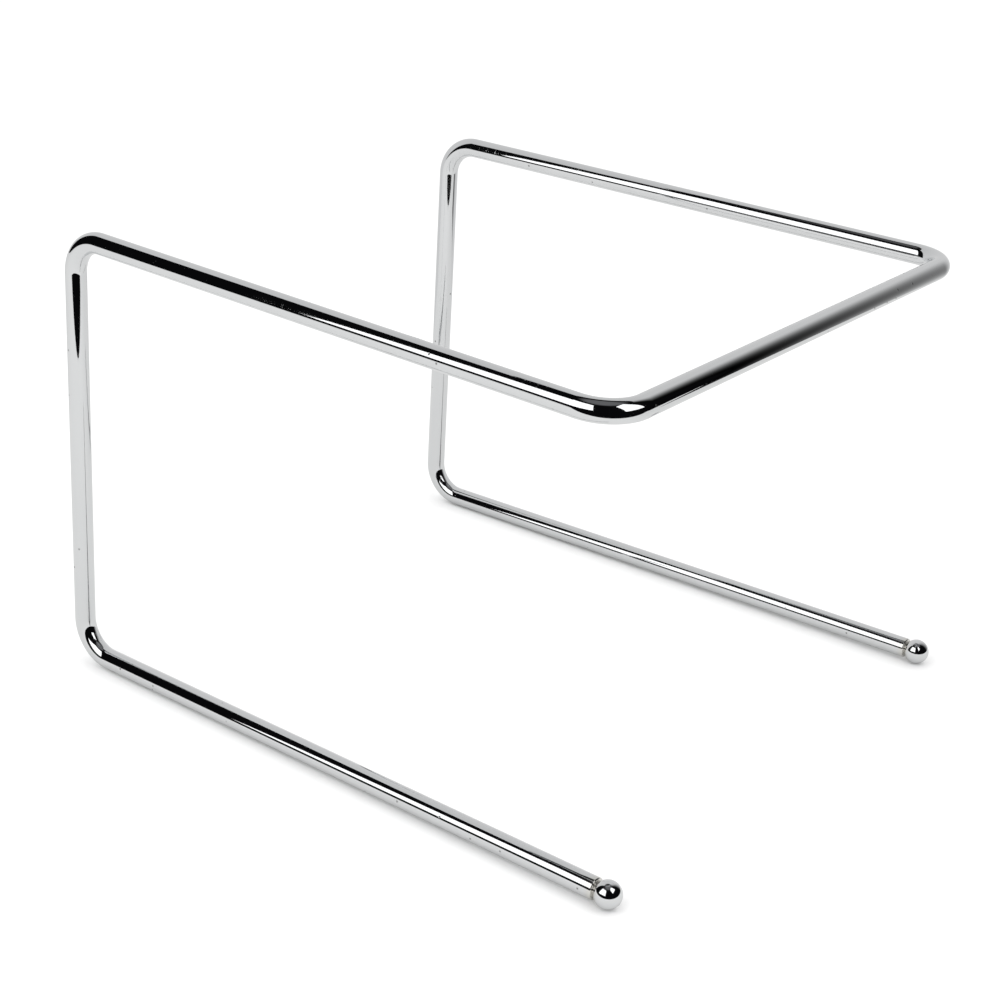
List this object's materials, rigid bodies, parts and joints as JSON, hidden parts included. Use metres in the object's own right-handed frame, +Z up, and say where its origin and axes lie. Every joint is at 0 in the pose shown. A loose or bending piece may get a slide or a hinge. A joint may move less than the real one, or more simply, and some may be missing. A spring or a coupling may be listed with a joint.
{
  "type": "bag holder stand",
  "caption": "Free-standing bent-rod stand that holds a plastic bag open under its rails and cross bar, on runners that end in ball tips.",
  "frame": {"origin": "on the table, half way between the back of the posts and the front of the balls, and half way between the two sides", "axes": "+Z up from the table, +X to the front, where the cross bar and the balls are, +Y to the left side"},
  "size_m": [0.2634, 0.2384, 0.178],
  "materials": {
    "rod_chrome": "bright chrome plate on a drawn steel rod, polished, with fine marks along the rod",
    "ball_chrome": "bright chrome plate on a steel ball, mirror polished"
  },
  "bodies": {
    "root": {"bent_rod": "rod_chrome", "left_ball_tip": "ball_chrome", "right_ball_tip": "ball_chrome"}
  },
  "joints": []
}
